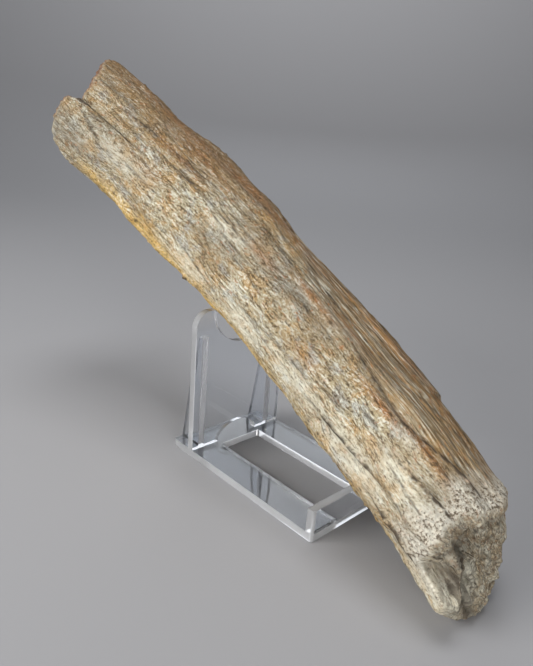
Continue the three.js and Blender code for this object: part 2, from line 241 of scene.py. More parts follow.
# Humerus section: a weathered length of fossil long bone, broken at both ends. Its outer
# layer has split along the grain into fibres, cracks and thin sheets, and the broken ends
# show the spongy inside. It only lies across the stand's notch and on its own lower tip.
BONE_TOP = np.array([-111.0, -16.0, 170.5])
BONE_FOOT = np.array([180.4, -13.3, 20.6])
BONE_BOW = np.array([0.0, 15.3, 0.0])
RADIUS_TOP, RADIUS_MIDDLE, RADIUS_FOOT = 31.7, 28.0, 23.4
OVAL, OVAL_ANGLE = 0.03, 80
KEEL, KEEL_ANGLE = 0.018, 160
# Where the wall starts at the upper break: angle and distance along the axis.
UPPER_RIM = (
    (-180, 3), (-150, 4.5), (-120, 4.8), (-105, 3.2), (-90, 2), (-80, 2), (-70, 3.2),
    (-65, 3.4), (-60, 9.9), (-45, 8), (-35, 5.2), (-25, 1.8), (-15, -2.2), (0, -7.8),
    (6, -9), (16, -7.2), (24, -4.5), (40, -1), (70, 1), (120, 2), (180, 3),
)
TOP_WALL_FROM, TOP_WALL_TO, TOP_HOLLOW = 0.56, 0.86, 4
FOOT_END, FOOT_MIDDLE_CUT = 330, 15.5
FOOT_SLOPE_UP, FOOT_SLOPE_FAR, FOOT_SLOPE_NEAR = 0.9, 0.24, 0.5
FOOT_NEAR_LOSS, FOOT_FAR_LOSS = 3, 3.4
RECESS_END, RECESS_FAR_RISE = 298, 8
ROOF_END, ROOF_FAR_LOSS, ROOF_WALL = 310, 6, 5
ROOF_NOTCH_ANGLE, ROOF_NOTCH_WIDTH, ROOF_NOTCH_DEPTH = -38, 18, 3.5
ROOF_FROM, ROOF_TO = -97, 85
TOE_FROM, TOE_ANGLE, TOE_WIDTH, TOE_HEIGHT = 280, 168, 40, 1.6
# Each pit or lump of the lower face: where it lies as up and side, its width and its depth.
FACE_PITS = (
    (8, -9, 6.5, 12),
    (14, -3, 4.5, 7),
    (-4, -14.5, 2.6, 8),
    (-9.5, -13, 2.3, 5.5),
    (-1, -11, 2.2, 6),
    (-6, -9.5, 2.2, 5),
    (-12, -9, 3.4, 5),
    (-4, 8, 5, -1.6),
    (2, 14, 4, -1.2),
    (2, 22, 7, -3.4),
)
TOP_EDGE_ROUND, TOP_EDGE_LOSS = 2.5, 1.4
# The fresh chip on the upper rim: the angles where it starts and ends, its width and its loss.
CHIP_STARTS, CHIP_ENDS, CHIP_ROUND, CHIP_LOSS = (-67, -60), (-22, 2), 2.0, 1.8
EDGE_ROUND, EDGE_LOSS, LUMP_HEIGHT, RIPPLE_HEIGHT = 4, 2.6, 0.9, 0.36
LUMP_FADE_FROM, LUMP_FADE = 0.75, 0.8
SHEET_FROM, SHEET_FULL, SHEET_END, SHEET_THICKNESS = 185, 240, 257, 1.15
SHEET_LOW_ANGLE, SHEET_HIGH_ANGLE = 14, 78
GROOVE_FADE, BROAD_GROOVE = 12, 8
NARROW_SHARE, NARROW_CORE = 0.6, 0.85
# Each groove: distance and angle of its start, of its end, its width and its depth.
GROOVES = (
    (10, -60, 62, -56, 2.6, 2.4),
    (30, -39, 112, -24, 3, 1.2),
    (72, -43, 150, -40, 2.8, 1.3),
    (112, -89, 158, -97, 3, 1.3),
    (168, -84, 215, -77, 3, 1),
    (180, -6, 250, -3, 2.6, 1.3),
    (246, -3, 292, 20, 2.6, 1.1),
    (228, -23, 268, -30, 2.8, 1.5),
    (262, -30, 306, -7, 2.6, 1.4),
    (228, -90, 280, -78, 2.6, 1.8),
    (244, -99, 281, -92, 5, -1.4),
    (278, -53, 304, -45, 2.8, 1.5),
    (280, -94, 306, -98, 2.8, 1.6),
    (311, -80, 327, -86, 2.4, 2.4),
    (30, 60, 190, 72, 4, 1.5),
    (120, 105, 300, 98, 4, 1.7),
    (40, 150, 210, 138, 4, 1.4),
    (190, 175, 320, 166, 3.6, 1.3),
    (20, -140, 150, -134, 4, 1.2),
    (62, -142, 110, -142, 15, -1.8),
    (38, 38, 58, 38, 10, 1.6),
    (70, 38, 102, 38, 10, -1.8),
    (140, 38, 174, 38, 12, 0.9),
    (205, 40, 250, 40, 15, 0.8),
    (289, 44, 302, 44, 9, 1.1),
    (298, 72, 314, 72, 9, -1.3),
    (208, -142, 228, -142, 14, 1.2),
)
AROUND, SHAFT_RINGS, TOP_RINGS, FOOT_RINGS = 320, 220, 24, 60
RING_SPREAD, FOOT_CROWDING = 0.8, 0.2
FRONT_ANGLE, FRONT_CROWDING = -50, 20
TOP_PART, FOOT_PART = 60, 280
CHORD = np.linalg.norm(BONE_FOOT - BONE_TOP)


def smooth(value, low, high):
    """0 below low and 1 above high, with a soft passage between them."""
    share = np.clip((value - low) / (high - low), 0, 1)
    return share * share * (3 - 2 * share)


def turned(angle, reference):
    """How far an angle lies from another, from -180 to 180 degrees."""
    return (angle - reference + 180) % 360 - 180


def plain_radius(distance):
    """The shaft without any relief."""
    t = distance / CHORD
    curve = 2 * (RADIUS_TOP + RADIUS_FOOT - 2 * RADIUS_MIDDLE)
    return RADIUS_TOP + (RADIUS_FOOT - RADIUS_TOP - curve) * t + curve * t * t


def groove_cut(distance, angle, grooves, fade, core=1.0):
    """Depth of a set of grooves. core below 1 keeps only the middle of each one."""
    radius = plain_radius(distance)
    cut = np.zeros_like(distance + angle)
    for start, start_angle, end, end_angle, width, depth in grooves:
        middle = start_angle + (end_angle - start_angle) * (distance - start) / (end - start)
        apart = np.radians(turned(angle, middle)) * radius
        begun = smooth(distance, start - fade, start + fade)
        ended = smooth(distance, end - fade, end + fade)
        cut += depth * np.exp(-((apart / (width * core)) ** 2)) * (begun * (1 - ended))
    return cut


def sheet_height(distance, angle):
    """The raised sheet of outer bone that thickens towards the foot and breaks off there."""
    middle = (SHEET_LOW_ANGLE + SHEET_HIGH_ANGLE) / 2
    half = (SHEET_HIGH_ANGLE - SHEET_LOW_ANGLE) / 2
    across = 1 - smooth(np.abs(turned(angle, middle)), half - 6, half)
    height = SHEET_THICKNESS * across * smooth(distance, SHEET_FROM, SHEET_FULL)
    return np.where(distance < SHEET_END, height, 0)


def surface_radius(distance, angle):
    """The worn form. Broad hollows and ridges are full, narrow grooves are left to the grain."""
    radius = plain_radius(distance)
    radians = np.radians(angle)
    oval = OVAL * np.cos(2 * np.radians(angle - OVAL_ANGLE))
    keel = KEEL * np.cos(3 * np.radians(angle - KEEL_ANGLE))
    toe = TOE_HEIGHT * np.exp(-((turned(angle, TOE_ANGLE) / TOE_WIDTH) ** 2))
    toe = toe * smooth(distance, TOE_FROM, FOOT_END)
    phase = distance / 55
    ripple = np.sin(9 * radians + 1.7 * np.sin(phase))
    ripple += 0.7 * np.sin(17 * radians - 2.3 * np.cos(phase))
    ripple += 1.9 * np.sin(distance / 19 + 2 * np.sin(2 * radians))
    broad_ones = [groove for groove in GROOVES if groove[4] > BROAD_GROOVE]
    narrow_ones = [groove for groove in GROOVES if groove[4] <= BROAD_GROOVE]
    broad = groove_cut(distance, angle, broad_ones, GROOVE_FADE)
    narrow = NARROW_SHARE * groove_cut(distance, angle, narrow_ones, GROOVE_FADE, core=NARROW_CORE)
    relief = RIPPLE_HEIGHT * ripple + sheet_height(distance, angle) - broad - narrow
    return radius * (1 + oval + keel) + toe + relief


def lumps(up, side):
    """Small rounded lumps of the broken faces."""
    waves = np.sin(up / 1.7 + 1) * np.cos(side / 1.7)
    return LUMP_HEIGHT * (waves + 0.7 * np.sin((side - up) / 2.2 + 2))


def upper_break(share, angle, up, side):
    """Where the bone starts: a rim of uneven wall round a shallow hollow."""
    rim = np.interp(angle, *zip(*UPPER_RIM))
    rim = rim + 0.6 * np.sin(np.radians(37 * angle)) * np.sin(np.radians(11 * angle + 40))
    hollow = TOP_HOLLOW + lumps(up, side)
    return hollow + (rim - hollow) * smooth(share, TOP_WALL_FROM, TOP_WALL_TO)


def face_pits(up, side):
    """Depth of the pits in the lower face."""
    cut = 0.0
    for pit_up, pit_side, width, depth in FACE_PITS:
        cut = cut + depth * np.exp(-((up - pit_up) ** 2 + (side - pit_side) ** 2) / width**2)
    return cut


def lower_break(share, angle, up, side, radius):
    """Where the bone ends: a sloping spongy face, set back under a roof of outer wall."""
    side_slope = FOOT_SLOPE_FAR * np.maximum(side, 0) + FOOT_SLOPE_NEAR * np.minimum(side, 0)
    slope = FOOT_END - FOOT_MIDDLE_CUT - FOOT_SLOPE_UP * up - side_slope
    near_loss = FOOT_NEAR_LOSS * smooth(-side, 4, 18)
    far_loss = FOOT_FAR_LOSS * smooth(side, 2, 12) * smooth(-up, 8, 22)
    recess = RECESS_END + RECESS_FAR_RISE * smooth(side, -4, 6) * (1 - smooth(side, 12, 20))
    face = np.clip(slope - far_loss, recess, FOOT_END - near_loss - far_loss) - face_pits(up, side)
    face = face + lumps(up, side) * (1 - LUMP_FADE * smooth(share, LUMP_FADE_FROM, 1))
    notch = ROOF_NOTCH_DEPTH * np.exp(-((turned(angle, ROOF_NOTCH_ANGLE) / ROOF_NOTCH_WIDTH) ** 2))
    roof_end = ROOF_END - ROOF_FAR_LOSS * smooth(angle, 4, 50) - notch + 0.7 * lumps(side, up)
    roof_starts = smooth(angle, ROOF_FROM - 6, ROOF_FROM + 6)
    roof_stops = smooth(angle, ROOF_TO - 12, ROOF_TO)
    roof_span = roof_starts * (1 - roof_stops)
    roof_wall = 1 - smooth(radius * (1 - share), ROOF_WALL - 1.5, ROOF_WALL + 1.5)
    return face + (roof_end - face) * roof_span * roof_wall


# The rings run from the middle of the upper break over its rim, down the shaft and over the
# lower rim to the middle of the lower break.
top_shares = (np.arange(1, TOP_RINGS + 1) / (TOP_RINGS + 1)) ** RING_SPREAD
foot_shares = ((np.arange(1, FOOT_RINGS + 1) / (FOOT_RINGS + 1)) ** RING_SPREAD)[::-1]
steps = np.linspace(0, 1, SHAFT_RINGS + 1)
steps = (1 + FOOT_CROWDING) * steps - FOOT_CROWDING * steps**3
share = np.concatenate([top_shares, np.ones(SHAFT_RINGS + 1), foot_shares])
height = np.concatenate([np.zeros(TOP_RINGS), steps, np.ones(FOOT_RINGS)])
share = np.concatenate([[0.0], share, [0.0]])[:, None]
height = np.concatenate([[0.0], height, [1.0]])[:, None]
columns = np.arange(AROUND) / AROUND
angle = FRONT_ANGLE + 360 * columns - FRONT_CROWDING * np.sin(2 * np.pi * columns)
angle = turned(angle, 0)[None, :]
rows = share.shape[0]

top_radius = surface_radius(np.zeros_like(angle), angle)
foot_radius = surface_radius(np.full_like(angle, float(ROOF_END)), angle)
radians = np.radians(angle)
top_up, top_side = share * top_radius * np.cos(radians), share * top_radius * np.sin(radians)
foot_up, foot_side = share * foot_radius * np.cos(radians), share * foot_radius * np.sin(radians)
first = upper_break(share, angle, top_up, top_side)
last = lower_break(share, angle, foot_up, foot_side, foot_radius)
distance = first + (last - first) * height
angles = np.broadcast_to(angle, distance.shape)
shares = np.broadcast_to(share, distance.shape)
from_edge = np.minimum(distance - first, last - distance)
chip = smooth(angle, *CHIP_STARTS) * (1 - smooth(angle, *CHIP_ENDS))
top_round = TOP_EDGE_ROUND + CHIP_ROUND * chip
top_loss = TOP_EDGE_LOSS + CHIP_LOSS * chip
rounding = top_loss * (1 - np.clip((distance - first) / top_round, 0, 1)) ** 2
rounding = rounding + EDGE_LOSS * (1 - np.clip((last - distance) / EDGE_ROUND, 0, 1)) ** 2
radius = shares * (surface_radius(distance, angles) - rounding)

t = (distance / CHORD)[..., None]
axis_place = BONE_TOP + (BONE_FOOT - BONE_TOP) * t + BONE_BOW * 4 * t * (1 - t)
along = (BONE_FOOT - BONE_TOP) + BONE_BOW * 4 * (1 - 2 * t)
along /= np.linalg.norm(along, axis=-1, keepdims=True)
sideways = np.cross(np.array([0.0, 0.0, 1.0]), along)
sideways /= np.linalg.norm(sideways, axis=-1, keepdims=True)
upward = np.cross(along, sideways)
up_part = radius * np.cos(radians)
side_part = radius * np.sin(radians)
points = axis_place + upward * up_part[..., None] + sideways * side_part[..., None]
_, bone_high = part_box("humerus_section")
shift = np.array([
    stand_low.x * 1000,
    (stand_low.y + stand_high.y) * 500,
    bone_high.z * 1000 - points[..., 2].max(),
])
points = points + shift


def grid_only(values):
    """One value for each mesh vertex: the two middles once, every other ring in full."""
    flat = values[1:-1].reshape(-1, *values.shape[2:])
    return np.concatenate([values[0, :1], flat, values[-1, :1]])


def ring_start(ring):
    """The first vertex of a ring, after the one vertex in the middle of the upper break."""
    return 1 + (ring - 1) * AROUND


faces = []
final = ring_start(rows - 1)
for column in range(AROUND):
    after = (column + 1) % AROUND
    faces.append((0, 1 + after, 1 + column))
    for ring in range(1, rows - 2):
        here, below = ring_start(ring), ring_start(ring + 1)
        faces.append((here + column, here + after, below + after, below + column))
    faces.append((ring_start(rows - 2) + column, ring_start(rows - 2) + after, final))
positions = grid_only(points)
bone_mesh = bpy.data.meshes.new("humerus")
bone_mesh.from_pydata((positions / 1000).tolist(), [], faces)
normals = np.zeros(len(positions) * 3, np.float32)
bone_mesh.vertex_normals.foreach_get("vector", normals)
normals = normals.reshape(-1, 3).astype(float)

grain = grid_only(np.stack([up_part, side_part, distance], axis=-1))
along_d = grid_only(distance)
around_v = grid_only(angles)
wall_share = grid_only(shares)
edge_gap = grid_only(np.where(shares >= 1, from_edge, 0))
chipped = grid_only(np.broadcast_to(chip, distance.shape)) * (along_d < TOP_PART)
broken = np.where(wall_share < 1, 1.0, 1 - smooth(edge_gap - 1.2 * chipped, 0.5, 3.5))
ROUGHENING, FINER = 0.9, 2.1


def noise_field(scale, octaves=1, offset=0.0):
    """Fractal noise over the straightened bone; scale is cells per mm across and along it."""
    seeds = grain * np.array([scale[0], scale[0], scale[1]]) + offset
    if octaves == 1:
        return np.array([noise.noise(p) for p in seeds.tolist()])
    return np.array([noise.fractal(p, ROUGHENING, FINER, octaves) for p in seeds.tolist()])


def cell_field(scale, offset=0.0):
    """Distance to the nearest cell point, to the cell's border, and a steady number of the cell."""
    seeds = grain * np.array([scale[0], scale[0], scale[1]]) + offset
    near, border, number = [], [], []
    for p in seeds.tolist():
        gaps, middles = noise.voronoi(p)
        near.append(gaps[0])
        border.append(gaps[1] - gaps[0])
        number.append(noise.cell(middles[0] * 7.3))
    return np.array(near), np.array(border), np.array(number)


# Weathering cracks along the grain, in the same form as the grooves: most by a seeded draw,
# then the ones that show most.
CRACKS, CRACK_END, CRACK_FADE, CRACK_DRIFT, CRACK_SEED = 170, 322, 4, 3, 11
draw = np.random.RandomState(CRACK_SEED)
hair_cracks = []
for _ in range(CRACKS):
    start = draw.uniform(4, 300)
    length = draw.uniform(6, 34)
    start_angle = draw.uniform(-180, 180)
    end_angle = start_angle + draw.normal(0, CRACK_DRIFT)
    end = min(start + length, CRACK_END)
    crack_width = draw.uniform(0.3, 0.6)
    crack_depth = draw.uniform(0.4, 1.0)
    hair_cracks.append((start, start_angle, end, end_angle, crack_width, crack_depth))
hair_cracks += [
    (9, -60, 22, -57, 1.3, 1.6),
    (240, -89, 270, -80, 0.7, 1.4),
    (284, -51, 300, -46, 0.7, 1.4),
    (96, -41, 112, -40, 0.6, 1.2),
    (126, -37, 140, -38, 0.6, 1.1),
    (46, -35, 66, -32, 0.6, 1.0),
    (228, -24, 250, -26, 0.6, 1.2),
    (286, -95, 306, -98, 0.7, 1.3),
    (311, -80, 327, -86, 1.0, 1.8),
    (262, -28, 300, -10, 0.7, 1.2),
]
waver = 3.0 * noise_field((0.05, 0.03), offset=41.0)
crack = groove_cut(along_d, around_v + waver, hair_cracks, CRACK_FADE)
deep_grooves = [groove for groove in GROOVES if groove[5] > 0 and groove[4] < BROAD_GROOVE]
deep_core = groove_cut(along_d, around_v + 0.6 * waver, deep_grooves, GROOVE_FADE, core=0.22)

# The far lower half has split into straight fibres like wood, the near side into short wavy
# ones, and the outer wall above the lower break has crumbled into grains.
woody_from = np.interp(along_d, (110, 150, 190, 210, 280, 302), (30, 0, -20, -27, -27, -8))
woody = smooth(around_v - woody_from, -12, 20) * (1 - smooth(around_v, 100, 140))
woody = woody * smooth(along_d, 105, 165)
crumbled = smooth(along_d + 7 * noise_field((0.12, 0.1), 2, offset=19.0), 286, 305)
crumbled = crumbled * smooth(around_v, -112, -88) * (1 - smooth(around_v, 60, 100)) * (1 - broken)

wavy_grit = noise_field((1.0, 0.34), 2, offset=17.0)
wavy_fibre = noise_field((0.42, 0.05), 2, offset=3.0)
straight_fibre = noise_field((1.0, 0.02), 3, offset=7.0)
swell = noise_field((0.07, 0.025), 2, offset=29.0)
ledge = smooth(noise_field((0.11, 0.035), 3, offset=53.0), 0.08, 0.14)
pit_gap, _, pit_number = cell_field((0.3, 0.2), offset=5.0)
pit = (1 - smooth(pit_gap, 0.1, 0.24)) * (np.abs(pit_number) > 0.5) * (1 - woody)
grain_gap, grain_edge, _ = cell_field((0.55, 0.5), offset=37.0)
lump_gap, lump_edge, _ = cell_field((0.33, 0.2), offset=71.0)
crumb_gap, crumb_edge, _ = cell_field((0.8, 0.6), offset=97.0)
sponge = noise_field((0.16, 0.08), 3, offset=83.0)

# Heights in mm over the worn form: the skin, the crumbled grains and the broken faces.
SKIN_TOP, SKIN_LOSS, ABOVE_GROUND = 0.4, 0.3, 0.02
skin = (0.32 * wavy_grit + 0.34 * wavy_fibre) * (1 - 0.7 * woody) + 0.5 * straight_fibre * woody
skin += 0.36 * swell - 0.4 * ledge * (1 - woody) - 0.7 * pit - 0.9 * crack - 0.6 * deep_core
grain_height = 1.1 * (0.5 - grain_gap) + 0.7 * sponge - 0.25
inside = 1.5 * (0.5 - lump_gap) + 0.9 * (0.5 - grain_gap) + 0.9 * (0.5 - crumb_gap)
inside = inside + 1.5 * sponge - 0.6 * pit
inside = inside * (1 - 0.5 * smooth(wall_share, 0.85, 1.0))
skin = np.minimum(skin, SKIN_TOP) * (1 - crumbled) + grain_height * crumbled
lift = (skin - SKIN_LOSS) * (1 - broken) + inside * broken
positions = positions + normals * lift[:, None]
positions[:, 2] = np.maximum(positions[:, 2], ABOVE_GROUND)
bone_mesh.vertices.foreach_set("co", (positions / 1000).astype(np.float32).ravel())
bone_mesh.update()
bone_mesh.polygons.foreach_set("use_smooth", [True] * len(bone_mesh.polygons))


def spots(places):
    """A mask of soft oval spots: distance, angle, half length, half width in degrees, weight."""
    mask = np.zeros_like(along_d)
    for middle_d, middle_v, half_d, half_v, weight in places:
        gone = ((along_d - middle_d) / half_d) ** 2 + (turned(around_v, middle_v) / half_v) ** 2
        mask = np.maximum(mask, weight * np.exp(-gone))
    return mask


# Stains: golden along the underside, brown on the upper side, grey where it is most worn, and
# rust in a few hollows and along the rim of the upper break. The golden underside is partly an
# ochre stain and partly painted light: it is painted brighter in place of light on that side.
golden = 1 - smooth(np.abs(turned(around_v, -152)), 24, 58)
golden = golden * smooth(along_d, 14, 44) * (1 - 0.6 * smooth(along_d, 140, 220))
brown_from = np.interp(
    along_d, (0, 90, 160, 200, 240, 280, 305), (-34, -34, -6, -20, -27, -26, -5)
)
brown = smooth(around_v - brown_from, -32, 44) * (1 - smooth(around_v, 80, 130))
grey = spots((
    (16, -92, 24, 26, 1.0),
    (45, -66, 40, 16, 0.7),
    (178, -34, 46, 18, 1.0),
    (222, -18, 30, 8, 0.9),
    (140, -58, 24, 16, 0.7),
    (258, -28, 14, 4, 1.0),
    (302, -30, 14, 50, 0.9),
    (120, 160, 60, 40, 0.5),
))
rusty = spots((
    (254, -36, 12, 4.5, 1.0),
    (278, -28, 16, 4, 0.8),
    (215, -12, 14, 3, 0.6),
    (150, 14, 40, 10, 0.5),
    (60, 10, 40, 12, 0.5),
    (85, -30, 22, 6, 0.6),
    (240, 22, 40, 6, 0.5),
    (194, -24, 14, 4, 0.8),
    (162, -36, 10, 5, 0.6),
    (117, 16, 24, 10, 0.7),
    (86, -8, 20, 8, 0.5),
    (219, -65, 10, 6, 0.5),
    (80, -62, 10, 6, 0.5),
))
pale = spots((
    (316, -126, 16, 40, 1.0),
    (317, -104, 12, 12, 1.0),
    (131, -101, 14, 12, 0.8),
    (178, -97, 16, 14, 0.9),
    (221, -88, 26, 12, 0.8),
    (262, -86, 26, 12, 1.0),
    (282, -60, 18, 14, 0.9),
    (137, -44, 14, 10, 0.6),
    (60, -74, 22, 10, 0.5),
    (270, -38, 8, 5, 0.8),
))
rim_band = 1 - smooth(edge_gap - 1.6 * chipped, 0.6, 2.6)
near_chip = np.abs(turned(around_v, -35)) < 60
rusty = np.maximum(rusty, rim_band * (along_d < TOP_PART) * near_chip)

# Darker places: in the cracks and between the grains and crumbs. Painted shade between the lumps
# of the broken faces, in the pits of the lower face (there partly dirt), in the deep pits at its
# tip, in the split beside its strip and under its roof.
crevice = np.clip((0.7 * deep_core + 0.9 * crack) * (0.7 + 1.3 * wavy_grit), 0, 1)
# Darker along the borders of the lumps, grains and crumbs; between the lumps of the broken faces this
# is painted shade.
for border, border_width, border_darkening in (
    (lump_edge, 0.15, 0.85 * broken),
    (grain_edge, 0.2, 0.75 * np.maximum(0.6 * crumbled, 0.8 * broken)),
    (crumb_edge, 0.2, 0.6 * broken),
):
    crevice = np.maximum(crevice, (1 - smooth(border, 0.0, border_width)) * border_darkening)
at_foot = along_d > FOOT_PART
up_place, side_place = grain[:, 0], grain[:, 1]
# Darker in the pits of the lower face: partly dirt, partly painted shade of their depth.
pit_dirt_and_shade = np.clip(face_pits(up_place, side_place) / 6, 0, 1) * (wall_share < 0.97) * at_foot
crevice = np.maximum(crevice, 0.85 * pit_dirt_and_shade)
# Painted shade in the deep pits at the tip of the lower face.
TIP_FROM, TIP_SPREAD = 316, 22
for tip_up, tip_side in ((-10, -12), (-15, -7)):
    tip_shade = np.exp(-((up_place - tip_up) ** 2 + (side_place - tip_side) ** 2) / TIP_SPREAD)
    crevice = np.maximum(crevice, 0.95 * tip_shade * (along_d > TIP_FROM) * broken)
# Painted shade in the split beside the strip of the lower break.
from_axis = np.hypot(up_place, side_place)
split_shade = spots(((314, -96, 5, 7, 1.0), (320, -97, 7, 7, 1.0)))
split_shade = split_shade * smooth(from_axis, 11, 14) * (1 - smooth(from_axis, 18, 20.5))
crevice = np.maximum(crevice, split_shade)
# Painted shade on the inner wall under the roof of the lower break.
roof_shade = smooth(wall_share, 0.68, 0.75) * (1 - smooth(wall_share, 0.83, 0.9)) * at_foot
roof_shade = roof_shade * smooth(around_v, -104, -90) * (1 - smooth(around_v, -50, -20))
crevice = np.maximum(crevice, np.clip(roof_shade * (0.75 + 0.6 * sponge), 0, 1))
# How high the wavy fibres stand; the material paints the raised ones a little lighter, a painted
# highlight.
raised = np.clip(0.5 + 0.9 * wavy_grit + 0.5 * wavy_fibre, 0, 1)


def store(name, kind, values):
    """One value or vector for each vertex, kept on the mesh for the material."""
    attribute = bone_mesh.attributes.new(name, kind, "POINT")
    field = "vector" if kind == "FLOAT_VECTOR" else "value"
    attribute.data.foreach_set(field, np.asarray(values, np.float32).ravel())


store("grain", "FLOAT_VECTOR", grain)
store("tones", "FLOAT_VECTOR", np.stack([golden, brown, grey], axis=-1))
store("marks", "FLOAT_VECTOR", np.stack([broken, crevice, raised], axis=-1))
store("wear", "FLOAT_VECTOR", np.stack([woody, crumbled, rusty], axis=-1))
store("pale", "FLOAT", pale)

fossil_bone, tree, output = new_material("fossil_bone")


def scaled(vector, across, lengthwise, shift=0.0):
    """The grain place, in cells per mm across and along the bone."""
    return add(
        tree,
        "ShaderNodeVectorMath",
        {0: vector, 1: (across, across, lengthwise), 2: (shift, shift, shift)},
        operation="MULTIPLY_ADD",
    ).outputs["Vector"]


def cloud(vector, detail, roughness):
    """Soft noise over a scaled place."""
    return add(
        tree,
        "ShaderNodeTexNoise",
        {"Vector": vector, "Scale": 1.0, "Detail": detail, "Roughness": roughness},
    ).outputs["Fac"]


def between(value, low, high, start=0.0, end=1.0):
    """A value that passes softly from start to end as the given one goes from low to high."""
    return add(
        tree,
        "ShaderNodeMapRange",
        {"Value": value, "From Min": low, "From Max": high, "To Min": start, "To Max": end},
        interpolation_type="SMOOTHSTEP",
    ).outputs["Result"]


def times(first_value, second_value, operation="MULTIPLY"):
    """Two values multiplied, or joined by another operation."""
    inputs = {0: first_value, 1: second_value}
    return add(tree, "ShaderNodeMath", inputs, operation=operation).outputs[0]


def tint(factor, under, over, blend="MIX"):
    """One colour laid over another by a factor."""
    inputs = {0: factor, 6: under, 7: over}
    return add(tree, "ShaderNodeMix", inputs, data_type="RGBA", blend_type=blend).outputs[2]


def stored(name, socket="Vector"):
    """A value that the mesh carries at each vertex."""
    return add(tree, "ShaderNodeAttribute", attribute_name=name).outputs[socket]


def masks(name):
    """The three masks that are stored as one vector."""
    parts = add(tree, "ShaderNodeSeparateXYZ", {0: stored(name)})
    return [parts.outputs[axis] for axis in "XYZ"]


def swirled(vector, amount):
    """The grain place, carried off a few mm by a slow swirl."""
    return add(
        tree,
        "ShaderNodeVectorMath",
        {0: swirl.outputs["Color"], 1: (amount, amount, amount), 2: vector},
        operation="MULTIPLY_ADD",
    ).outputs["Vector"]


grain_place = stored("grain")
golden_mask, brown_mask, grey_mask = masks("tones")
broken_mask, crevice_mask, raised_mask = masks("marks")
woody_mask, crumbled_mask, rusty_mask = masks("wear")
pale_mask = stored("pale", "Fac")
swirl = add(
    tree,
    "ShaderNodeTexNoise",
    {"Vector": scaled(grain_place, 0.07, 0.035), "Scale": 1.0, "Detail": 2.0},
)
wavy_place = swirled(grain_place, 8.0)
straight_place = swirled(grain_place, 2.0)

grit = cloud(scaled(wavy_place, 2.0, 0.75, 9.0), 4.0, 0.68)
dashes = cloud(scaled(wavy_place, 1.3, 0.14), 4.0, 0.68)
speckle = cloud(scaled(grain_place, 0.8, 0.8, 15.0), 4.0, 0.7)
wood_lines = cloud(scaled(straight_place, 1.5, 0.035, 5.0), 4.0, 0.72)
wood_bands = cloud(scaled(straight_place, 0.7, 0.014, 31.0), 4.0, 0.68)
patch = cloud(scaled(wavy_place, 0.06, 0.03, 47.0), 3.0, 0.6)
stain = cloud(scaled(wavy_place, 0.13, 0.07, 91.0), 4.0, 0.66)
blotch = cloud(scaled(wavy_place, 0.22, 0.12, 61.0), 5.0, 0.68)
rust = cloud(scaled(wavy_place, 0.6, 0.34, 77.0), 4.0, 0.65)
pores = add(
    tree,
    "ShaderNodeTexVoronoi",
    {"Vector": scaled(wavy_place, 0.8, 0.5, 5.0), "Scale": 1.0, "Randomness": 1.0},
    feature="F1",
).outputs["Distance"]


def share_of(factor, first_value, second_value):
    """One value that passes into another."""
    inputs = {0: factor, 2: first_value, 3: second_value}
    return add(tree, "ShaderNodeMix", inputs, data_type="FLOAT").outputs[0]


# The grain pattern of the skin, which also lifts the bump below; a little higher on the raised
# fibres, so they are painted lighter.
wavy_light = times(times(grit, 0.55), times(dashes, 0.45), "ADD")
wavy_light = times(wavy_light, times(times(raised_mask, 0.5, "SUBTRACT"), 0.1), "ADD")
light = share_of(times(woody_mask, 0.8), wavy_light, wood_lines)
light = share_of(crumbled_mask, light, speckle)

colour = tint(between(patch, 0.36, 0.66), paint(190, 176, 148), paint(170, 146, 110))
colour = tint(times(between(blotch, 0.54, 0.64), 0.55), colour, paint(232, 227, 214))
colour = tint(times(between(blotch, 0.47, 0.37), 0.45), colour, paint(150, 130, 104))
colour = tint(times(between(stain, 0.51, 0.61), 0.65), colour, paint(200, 154, 90))
colour = tint(times(between(stain, 0.47, 0.38), 0.65), colour, paint(162, 162, 162))
colour = tint(times(grey_mask, between(blotch, 0.3, 0.62, 0.55, 1.0)), colour, paint(136, 130, 120))
# Golden underside: ochre stain, painted brighter as painted light on that side.
colour = tint(times(golden_mask, between(blotch, 0.25, 0.6, 0.7, 1.0)), colour, paint(236, 192, 106))
colour = tint(times(brown_mask, between(blotch, 0.25, 0.6, 0.55, 1.0)), colour, paint(142, 114, 82))
for wood_mask, wood_pattern, wood_paint in (
    (brown_mask, between(wood_bands, 0.5, 0.62, 0.0, 0.7), paint(160, 122, 78)),
    (woody_mask, between(wood_bands, 0.5, 0.4, 0.0, 0.7), paint(124, 116, 104)),
    (woody_mask, between(wood_lines, 0.54, 0.62, 0.0, 0.6), paint(198, 188, 170)),
):
    colour = tint(times(wood_mask, wood_pattern), colour, wood_paint)
colour = tint(times(between(rust, 0.57, 0.66), 0.65), colour, paint(172, 108, 58))
colour = tint(times(rusty_mask, between(blotch, 0.28, 0.55, 0.3, 0.95)), colour, paint(170, 110, 56))
colour = tint(times(pale_mask, between(blotch, 0.3, 0.6, 0.35, 0.9)), colour, paint(236, 228, 212))
colour = tint(times(crumbled_mask, between(blotch, 0.3, 0.6, 0.5, 0.9)), colour, paint(230, 220, 208))
# White on the high places of the grain pattern, less on the brown and grey: partly the bone's own
# chalky fibres, partly a painted highlight on the fibre ridges that the same pattern raises in the
# bump.
chalk_and_highlight = times(share_of(brown_mask, 1.0, 0.5), share_of(grey_mask, 1.0, 0.55))
chalk_and_highlight = times(between(patch, 0.62, 0.4, 0.35, 0.85), chalk_and_highlight)
colour = tint(times(between(light, 0.525, 0.59), chalk_and_highlight), colour, paint(236, 231, 220))
